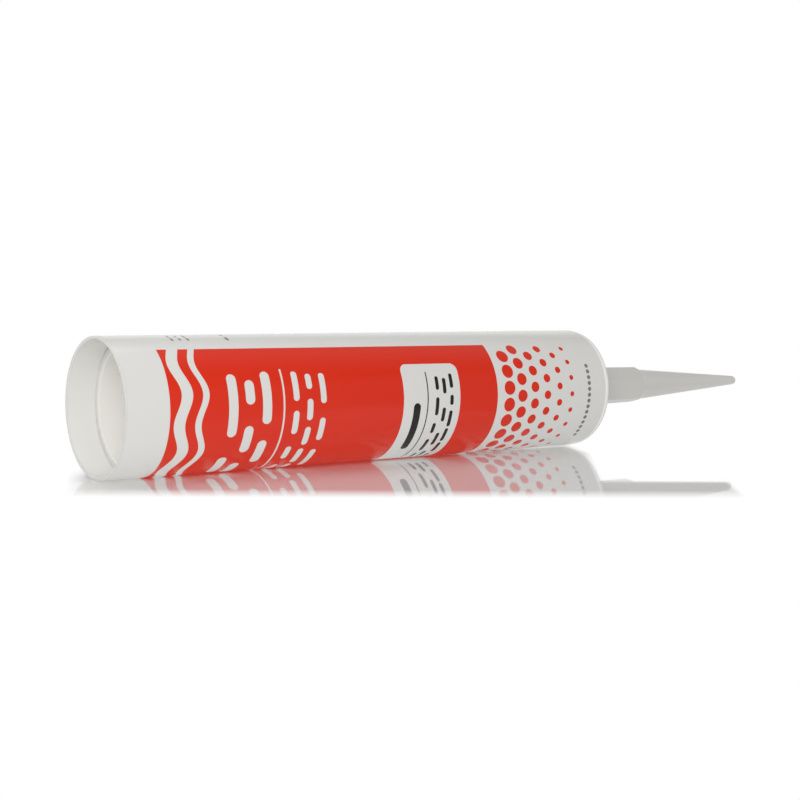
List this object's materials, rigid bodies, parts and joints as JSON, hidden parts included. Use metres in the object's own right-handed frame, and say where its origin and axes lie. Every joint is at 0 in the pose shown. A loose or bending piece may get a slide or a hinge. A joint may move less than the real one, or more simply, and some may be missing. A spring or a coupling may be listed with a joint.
{
  "type": "caulk cartridge",
  "caption": "Cylindrical caulk cartridge, open at the rear, with a sliding cup plunger, a filling of sealant, a coned head with a sealed neck and a long tapered nozzle with a six-sided grip.",
  "frame": {"origin": "centre of the rear rim, on which the cartridge stands", "axes": "+Z along the axis from the rear rim to the nozzle tip; the middle of the print faces -Y"},
  "size_m": [0.0484, 0.0484, 0.322],
  "materials": {
    "barrel_plastic": "white polyethylene with a soft gloss and a printed red field",
    "plunger_plastic": "natural polyethylene, satin",
    "sealant_paste": "smooth white silicone paste",
    "nozzle_plastic": "pale grey polyethylene, satin"
  },
  "bodies": {
    "barrel": {"barrel": "barrel_plastic", "sealant": "sealant_paste"},
    "plunger": {"plunger": "plunger_plastic"},
    "nozzle": {"nozzle": "nozzle_plastic"}
  },
  "joints": [
    {"name": "plunger_slide", "type": "slide", "parent": "barrel", "child": "plunger", "axis": [0, 0, 1], "range_m": [0, 0.187], "deforming": ["sealant"]},
    {"name": "nozzle_lift", "type": "slide", "parent": "barrel", "child": "nozzle", "axis": [0, 0, 1], "range_m": [0, 0.034]}
  ]
}
